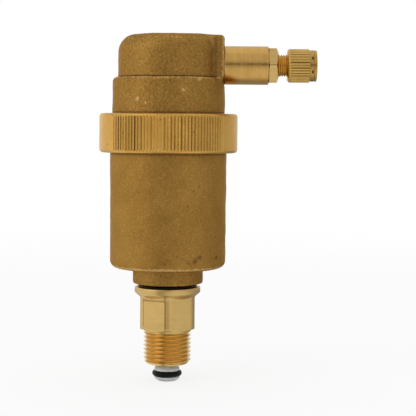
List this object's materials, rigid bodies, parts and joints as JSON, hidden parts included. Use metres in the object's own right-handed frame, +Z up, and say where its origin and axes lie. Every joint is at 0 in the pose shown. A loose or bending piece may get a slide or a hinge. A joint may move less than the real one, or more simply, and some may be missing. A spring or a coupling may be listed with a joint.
{
  "type": "air vent valve",
  "caption": "Automatic float air vent in brass with a side outlet under a knurled cap, a knurled union nut and a threaded isolating valve below.",
  "frame": {"origin": "on the upright axis, in the plane where the pipe thread meets the hexagon's lower face", "axes": "+Z up along the axis from the pipe thread to the cover, +X the way the side outlet points"},
  "size_m": [0.0955, 0.061, 0.1531],
  "materials": {
    "cast_brass": "cast and tumbled, grainy, dull",
    "forged_brass": "pressed and tumbled, satin",
    "turned_brass": "turned and brushed",
    "polished_brass": "bright machined",
    "cap_brass": "bright machined and knurled",
    "black_rubber": "smooth moulded",
    "white_plastic": "moulded",
    "float_plastic": "moulded",
    "stainless_steel": "stamped or drawn",
    "seal_fibre": "pressed fibre"
  },
  "bodies": {
    "isolating_valve": {"isolating_valve_body": "polished_brass", "plunger_spring": "stainless_steel"},
    "plunger": {"isolating_plunger": "white_plastic", "plunger_oring": "black_rubber", "plunger_push_disc": "white_plastic"},
    "neck_seal": {"neck_gasket": "black_rubber"},
    "vent_body": {"float_chamber": "cast_brass", "cover_gasket": "seal_fibre"},
    "cover": {"cover": "cast_brass", "outlet_spigot": "turned_brass", "spigot_seal": "black_rubber", "outlet_nipple": "polished_brass", "nipple_washer": "seal_fibre", "valve_seat": "polished_brass", "lever_bracket": "stainless_steel", "lever_pin": "stainless_steel", "stem_spring": "stainless_steel"},
    "union_nut": {"ring_nut": "forged_brass"},
    "float": {"float_shell": "float_plastic", "float_base": "float_plastic", "float_hook": "stainless_steel"},
    "lever": {"lever": "stainless_steel", "hook_pin": "stainless_steel"},
    "stem": {"valve_stem": "stainless_steel", "valve_disc": "black_rubber", "spring_clip": "stainless_steel"},
    "cap_filling": {"cap_seal_washer": "black_rubber", "hygroscopic_discs": "seal_fibre"},
    "cap": {"cap_barrel": "cap_brass", "cap_end_plate": "cap_brass"}
  },
  "joints": [
    {"name": "vent_rise", "type": "slide", "parent": "isolating_valve", "child": "neck_seal", "axis": [0, 0, 1], "range_m": [0, 0.0036]},
    {"name": "vent_turn", "type": "hinge", "parent": "neck_seal", "child": "vent_body", "pos_m": [0, 0, 0], "axis": [0, 0, 1], "range_deg": [0, 969.33]},
    {"name": "plunger_rise", "type": "slide", "parent": "isolating_valve", "child": "plunger", "axis": [0, 0, 1], "range_m": [0, 0.0036], "deforming": ["plunger_spring"]},
    {"name": "cover_lift", "type": "slide", "parent": "vent_body", "child": "cover", "axis": [0, 0, 1], "range_m": [0, 0.009]},
    {"name": "nut_turn", "type": "hinge", "parent": "cover", "child": "union_nut", "pos_m": [0, 0, 0.07775], "axis": [0, 0, 1], "range_deg": [0, 2160]},
    {"name": "float_rise", "type": "slide", "parent": "cover", "child": "float", "axis": [0, 0, 1], "range_m": [0, 0.006]},
    {"name": "lever_swing", "type": "hinge", "parent": "cover", "child": "lever", "pos_m": [0.01085, 0, 0.1104], "axis": [0, 1, 0], "range_deg": [0, 14.32]},
    {"name": "stem_slide", "type": "slide", "parent": "cover", "child": "stem", "axis": [1, 0, 0], "range_m": [0, 0.0015], "deforming": ["stem_spring"]},
    {"name": "cap_travel", "type": "slide", "parent": "cover", "child": "cap_filling", "axis": [1, 0, 0], "range_m": [-0.003, 0.002]},
    {"name": "cap_turn", "type": "hinge", "parent": "cap_filling", "child": "cap", "pos_m": [0.0521, 0, 0.11635], "axis": [1, 0, 0], "range_deg": [-1080, 720]}
  ],
  "couplings": [
    {"joint": "vent_rise", "follows": "vent_turn", "m_per_rad": 0.00021279},
    {"joint": "plunger_rise", "follows": "vent_turn", "m_per_rad": 0.00021279},
    {"joint": "cover_lift", "follows": "nut_turn", "m_per_rad": 0.00023873},
    {"joint": "lever_swing", "follows": "float_rise", "rad_per_m": 41.667},
    {"joint": "stem_slide", "follows": "float_rise", "ratio": 0.25},
    {"joint": "cap_travel", "follows": "cap_turn", "m_per_rad": 0.00015915}
  ]
}
